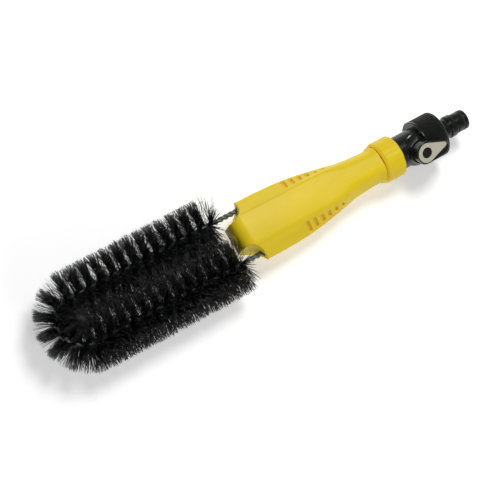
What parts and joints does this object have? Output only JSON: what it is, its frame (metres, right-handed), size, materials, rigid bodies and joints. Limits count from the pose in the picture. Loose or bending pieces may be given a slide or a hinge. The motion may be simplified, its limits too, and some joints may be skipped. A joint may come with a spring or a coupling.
{
  "type": "wheel brush",
  "caption": "Flow-through wheel brush: looped twisted-wire bristle head, split grip handle, shut-off valve with a lever, ribbed union nut and quick-connect hose plug.",
  "frame": {"origin": "middle of the hose plug's sealing barrel, on the tool's axis", "axes": "+X along the tool's axis towards the hose, +Z out of the plane of the wire loop on the lever's side, +Y away from the lever's side"},
  "size_m": [0.3834, 0.082, 0.047],
  "materials": {
    "handle_plastic": "satin yellow moulding",
    "collar_plastic": "satin yellow moulding",
    "black_plastic": "polished black moulding",
    "lever_plastic": "polished black moulding",
    "inlay_plastic": "warm light grey",
    "bristle_nylon": "black nylon filament",
    "coated_wire": "dark coated steel wire",
    "steel": "zinc plated",
    "seal_rubber": "moulded rubber",
    "tube_plastic": "natural extruded tube",
    "seat_plastic": "white low-friction plastic",
    "ball_metal": "polished"
  },
  "bodies": {
    "tool": {"handle_top_shell": "handle_plastic", "handle_bottom_shell": "handle_plastic", "spray_nozzle": "handle_plastic", "handle_screws": "steel", "near_wire_ferrule": "steel", "far_wire_ferrule": "steel", "wire_strand_a": "coated_wire", "wire_strand_b": "coated_wire", "near_leg_bristles": "bristle_nylon", "far_leg_bristles": "bristle_nylon", "tip_bristles": "bristle_nylon", "water_tube": "tube_plastic", "tube_seals": "seal_rubber", "pipe_gasket": "seal_rubber", "valve_body": "black_plastic", "front_ball_seat": "seat_plastic", "rear_ball_seat": "seat_plastic", "seat_retainer": "black_plastic", "hose_plug": "black_plastic", "plug_gasket": "seal_rubber", "plug_o_ring": "seal_rubber"},
    "collar": {"collar_nut": "collar_plastic"},
    "lever": {"lever": "lever_plastic", "lever_inlay": "inlay_plastic", "lever_screw": "steel", "lever_cap": "lever_plastic", "valve_stem": "black_plastic", "stem_o_rings": "seal_rubber", "valve_ball": "ball_metal"},
    "union": {"union_nut": "black_plastic"}
  },
  "joints": [
    {"name": "lever_turn", "type": "hinge", "parent": "tool", "child": "lever", "pos_m": [-0.0451, 0, 0], "axis": [0, -0.5592, 0.829], "range_deg": [0, 90]},
    {"name": "collar_turn", "type": "hinge", "parent": "tool", "child": "collar", "pos_m": [-0.0715, 0, 0], "axis": [1, 0, 0], "continuous": true},
    {"name": "union_turn", "type": "hinge", "parent": "tool", "child": "union", "pos_m": [-0.0294, 0, 0], "axis": [1, 0, 0], "continuous": true}
  ]
}
